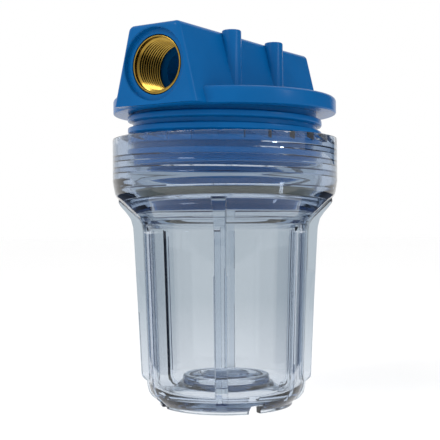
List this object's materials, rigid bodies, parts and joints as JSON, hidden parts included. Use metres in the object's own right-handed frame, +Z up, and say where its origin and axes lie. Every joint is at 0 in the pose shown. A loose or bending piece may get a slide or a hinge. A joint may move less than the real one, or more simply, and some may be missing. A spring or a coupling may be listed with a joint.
{
  "type": "cartridge filter housing",
  "caption": "Blue moulded head with threaded brass ports over a clear ribbed bowl that screws up onto it, with a seal in the collar; shown part unscrewed and empty.",
  "frame": {"origin": "centre of the bowl's foot ring, on the surface the foot stands on", "axes": "+Z up along the bowl's axis; the inlet port faces -Y and the outlet port +Y"},
  "size_m": [0.1184, 0.1256, 0.192],
  "materials": {
    "head_plastic": "satin moulded polypropylene",
    "brass": "machined",
    "clear_plastic": "clear polished moulding, faint blue-grey tint",
    "seal_rubber": "matte"
  },
  "bodies": {
    "head": {"head": "head_plastic", "inlet_insert": "brass", "outlet_insert": "brass"},
    "seal": {"bowl_seal": "seal_rubber"},
    "bowl": {"bowl": "clear_plastic"}
  },
  "joints": [
    {"name": "bowl_travel", "type": "slide", "parent": "head", "child": "seal", "axis": [0, 0, 1], "range_m": [-0.0061, 0.0111]},
    {"name": "bowl_turn", "type": "hinge", "parent": "seal", "child": "bowl", "pos_m": [0, 0, 0.1], "axis": [0, 0, 1], "range_deg": [-660, 360]}
  ],
  "couplings": [
    {"joint": "bowl_travel", "follows": "bowl_turn", "m_per_rad": -0.00095493}
  ]
}
